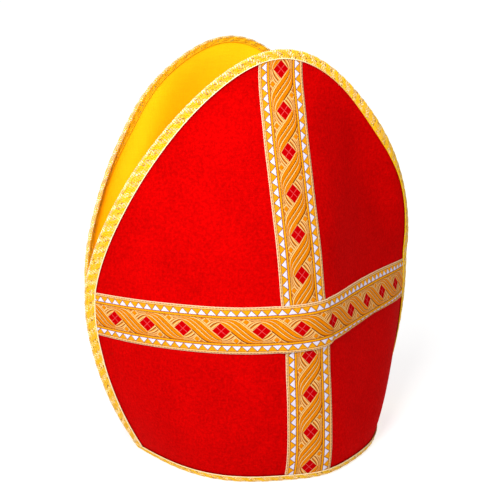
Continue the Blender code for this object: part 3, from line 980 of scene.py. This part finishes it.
def make_hem_braid(ground, strands, tree):
    skin = hem_skin(np.linspace(1, -1, HEM_STATIONS))
    ring = np.concatenate([skin, skin * HALF_TURN])
    rings, faces, _ = braid_shell(ring)
    rows, size = rings.shape[:2]
    seam = grid_faces(2, size, closed=True)
    seam = np.where(seam < size, seam + (rows - 1) * size, seam - size)
    new_piece(
        "hem_braid_ground", listed(rings), np.concatenate([faces, seam]), ground, "gold_braid",
        "hem_braid", tint=np.full(rows * size, GROUND_TINT),
    )
    halves = [(skin, side) for side in SIDES]
    dress_braid("hem_braid_strands", halves, HEM_DRESS, strands, tree, HEM_SEED)
    for tip, (label, tint) in zip((0, -1), HEM_CORD_TINTS.items()):
        line = np.concatenate([ring[:, tip], ring[:1, tip]])
        add_cord(f"hem_{label}_cord", line, HEM_CORD_RADIUS, tint, strands)


def outer_tips():
    """Places (x, height) just under the edge braid's outer tip, where the ribbons end."""
    turns = edge_turns(TIP_SAMPLES, HEM_BRAID_WIDTH)
    walk, steps = walk_under_braid(turns)
    widths = np.interp(turns, *BRAID_WIDTHS) - RIBBON_TUCK
    return np.array([[np.interp(w, steps, line[:, k]) for k in (0, 1)] for w, line in zip(widths, walk)])


def woven_ribbon(side, kind, x, height, across, along, galloon, lift=0.0):
    """Embossed ribbon over places (row along it, column across it), with fewer columns on its back."""
    rows, columns = x.shape
    lift = np.broadcast_to(lift, x.shape)
    pick = np.linspace(0, columns - 1, BACK_COLUMNS).round().astype(int)
    relief = galloon_relief(across, along)
    over = settle(place(x, height, RIBBON_TOP - RELIEF_ROOM + relief + lift), side)
    under = settle(place(x[:, pick], height[:, pick], RIBBON_BED + lift[:, pick]), side)
    front = np.arange(rows * columns).reshape(rows, columns)
    back = np.arange(rows * BACK_COLUMNS).reshape(rows, BACK_COLUMNS) + front.size
    faces = [grid_faces(rows, columns), (grid_faces(rows, BACK_COLUMNS) + front.size)[:, ::-1]]
    for rim, flip in ((0, 1), (-1, -1)):
        a, b = front[:, rim], back[:, rim]
        faces.append(np.stack([a[:-1], a[1:], b[1:], b[:-1]], axis=-1)[:, ::flip])
    ends = [front[row].tolist() + back[row, ::-1].tolist() for row in (0, -1)]
    uv = np.stack([across, along], axis=-1)
    new_piece(
        f"{side}_{kind}_galloon", listed(over, under), np.concatenate(faces), galloon, "gold_ribbon",
        f"{side}_{kind}_ribbon", listed(uv, uv[:, pick]), ends=ends,
    )


def make_upright_ribbons(galloon):
    heights = np.linspace(FOOT_HEIGHT, PANEL_HEIGHT, UPRIGHT_SAMPLES)
    from_top = run_length(place(0, heights, RIBBON_TOP)[::-1])[::-1]
    across = np.linspace(-RIBBON_WIDTH / 2, RIBBON_WIDTH / 2, RIBBON_COLUMNS)
    tips = outer_tips()
    near = (abs(tips[:, 0]) < RIBBON_WIDTH) & (tips[:, 1] > PANEL_HEIGHT / 2)
    tops = np.interp(across, *tips[near].T)
    height = FOOT_HEIGHT + (tops - FOOT_HEIGHT) * np.linspace(0, 1, UPRIGHT_ROWS)[:, None]
    x = np.broadcast_to(across, height.shape)
    along = FIRST_DIAMOND - np.interp(height, heights, from_top)
    for side in SIDES:
        woven_ribbon(side, "upright", x, height, x, along, galloon)


def crossbar_middle(x):
    return CROSSBAR_HEIGHT - CROSSBAR_DROOP * np.maximum(x / half_width(CROSSBAR_HEIGHT), 0) ** 3


def make_crossbar_ribbons(galloon):
    tips = outer_tips()
    offsets = np.linspace(RIBBON_WIDTH / 2, -RIBBON_WIDTH / 2, RIBBON_COLUMNS)
    middle = len(tips) // 2
    ends = []
    for flank in (tips[:middle], tips[: middle - 1 : -1]):
        reach = 0.0
        # the crossbar droops, so its end is found in a few rounds
        for _ in range(6):
            reach = np.interp(crossbar_middle(reach) + offsets, flank[:, 1], flank[:, 0])
        ends.append(reach)
    x = ends[0] + (ends[1] - ends[0]) * np.linspace(0, 1, CROSSBAR_ROWS)[:, None]
    spots = np.linspace(x.min() - 1, x.max() + 1, CROSSBAR_SAMPLES)
    lengths = run_length(place(spots, crossbar_middle(spots), RIBBON_TOP))
    from_middle = np.interp(x, spots, lengths) - np.interp(0.0, spots, lengths)
    across = np.broadcast_to(-offsets, x.shape)
    rise = np.clip((RIBBON_WIDTH / 2 + CROSSING_MARGIN - abs(x)) / CROSSING_RAMP, 0, 1)
    rolled = np.interp(from_middle, *BORDER_ROLL)
    into_border = across - RIBBON_WIDTH / 2 + BORDER_WIDTH
    height = crossbar_middle(x) + offsets + rolled * np.maximum(into_border, 0)
    lift = CROSSING_LIFT * eased(rise)
    lift = lift + rolled * ROLL_LIFT * np.exp(-((into_border / ROLL_SOFTNESS) ** 2))
    for side in SIDES:
        woven_ribbon(side, "crossbar", x, height, across, from_middle - CROSSBAR_SHIFT, galloon, lift)


# ---- floor, lights and camera

def make_floor():
    mesh = bpy.data.meshes.new("floor")
    reach = 30.0
    corners = [(-reach, -reach, 0), (reach, -reach, 0), (reach, reach, 0), (-reach, reach, 0)]
    mesh.from_pydata(corners, [], [(0, 1, 2, 3)])
    finish, tree, shader = new_finish(
        "pale_floor", Roughness=0.9, Specular_IOR_Level=0.1, Emission_Color=(1, 1, 1, 1),
        Emission_Strength=0.68,
    )
    where = add_node(tree, "ShaderNodeTexCoord")["Object"]
    noise = add_node(tree, "ShaderNodeTexNoise", {"Vector": where, "Scale": 1.5})[0]
    feed(shader, "Base Color", blended(tree, noise, linear(186, 186, 186), linear(188, 188, 187)))
    mesh.materials.append(finish)
    put_in_scene("floor", mesh)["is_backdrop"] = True


def add_light(name, kind, stand, aim, **settings):
    """A light that stands at one place, in metres, and shines toward another."""
    light = bpy.data.lights.new(name, kind)
    for key, value in settings.items():
        setattr(light, key, value)
    lamp = put_in_scene(name, light)
    lamp.location = stand
    lamp.rotation_euler = (Vector(stand) - Vector(aim)).to_track_quat("Z", "Y").to_euler()


def light_studio():
    scene = bpy.context.scene
    scene.view_settings.view_transform = "Standard"
    world = bpy.data.worlds.new("studio")
    scene.world = world
    world.use_nodes = True
    sky = world.node_tree.nodes["Background"]
    feed(sky, "Color", (1, 1, 1, 1))
    seen = Signal(add_node(world.node_tree, "ShaderNodeLightPath")["Is Camera Ray"])
    feed(sky, "Strength", seen * 0.5 + 0.54)
    add_light("side_light", "SUN", (-0.85, -0.20, 0.55), (0, 0, 0), angle=np.radians(35), energy=1.1)
    stand, aim = (-0.28, -0.40, 0.58), (0, 0, 0.2)
    add_light("softbox", "AREA", stand, aim, shape="SQUARE", size=0.25, energy=4.8)


def add_camera():
    """Camera from the front's left and a little above. It looks past the centre by its two aims."""
    azimuth, elevation, roll = (np.radians(v) for v in (-20.91, 14.74, -1.15))
    distance, sideways_aim, upward_aim = 893.3, -2.2, 1.6
    centre = np.array([0.0, 0.0, 150.0])
    level = np.cos(elevation)
    toward = np.array([np.sin(azimuth) * level, -np.cos(azimuth) * level, np.sin(elevation)])
    stand = centre + toward * distance

    def axes(ahead):
        right = unit(np.cross(ahead, (0, 0, 1.0)))
        return right, np.cross(right, ahead)

    right, up = axes(-toward)
    ahead = unit(centre + right * sideways_aim + up * upward_aim - stand)
    right, up = axes(ahead)
    tilted_right = right * np.cos(roll) + up * np.sin(roll)
    tilted_up = up * np.cos(roll) - right * np.sin(roll)
    lens = bpy.data.cameras.new("view")
    lens.sensor_width, lens.lens = 36.0, 80.65
    camera = put_in_scene("view", lens)
    turned = Matrix(np.stack([tilted_right, tilted_up, -ahead], axis=-1).tolist())
    camera.matrix_world = Matrix.Translation(Vector(stand * MM)) @ turned.to_4x4()
    bpy.context.scene.camera = camera


def build():
    weave, mottle = make_weave_group(), make_mottle_group()
    galloon = make_galloon_cloth(make_galloon_group(), weave, mottle)
    ground, strands = (make_gold_thread(name, mottle) for name in ("gold_ground", "gold_strands"))
    tree = make_strand_tree()
    make_panels(make_velvet(weave, mottle), make_lining_cloth(weave, mottle))
    make_edge_braids(ground, strands, tree)
    make_hem_braid(ground, strands, tree)
    make_upright_ribbons(galloon)
    make_crossbar_ribbons(galloon)
    make_floor()
    light_studio()
    add_camera()


build()
boxes = {"cad": cad_box, "visual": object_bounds()}
{name: [list(corner) for corner in box] for name, box in boxes.items()}
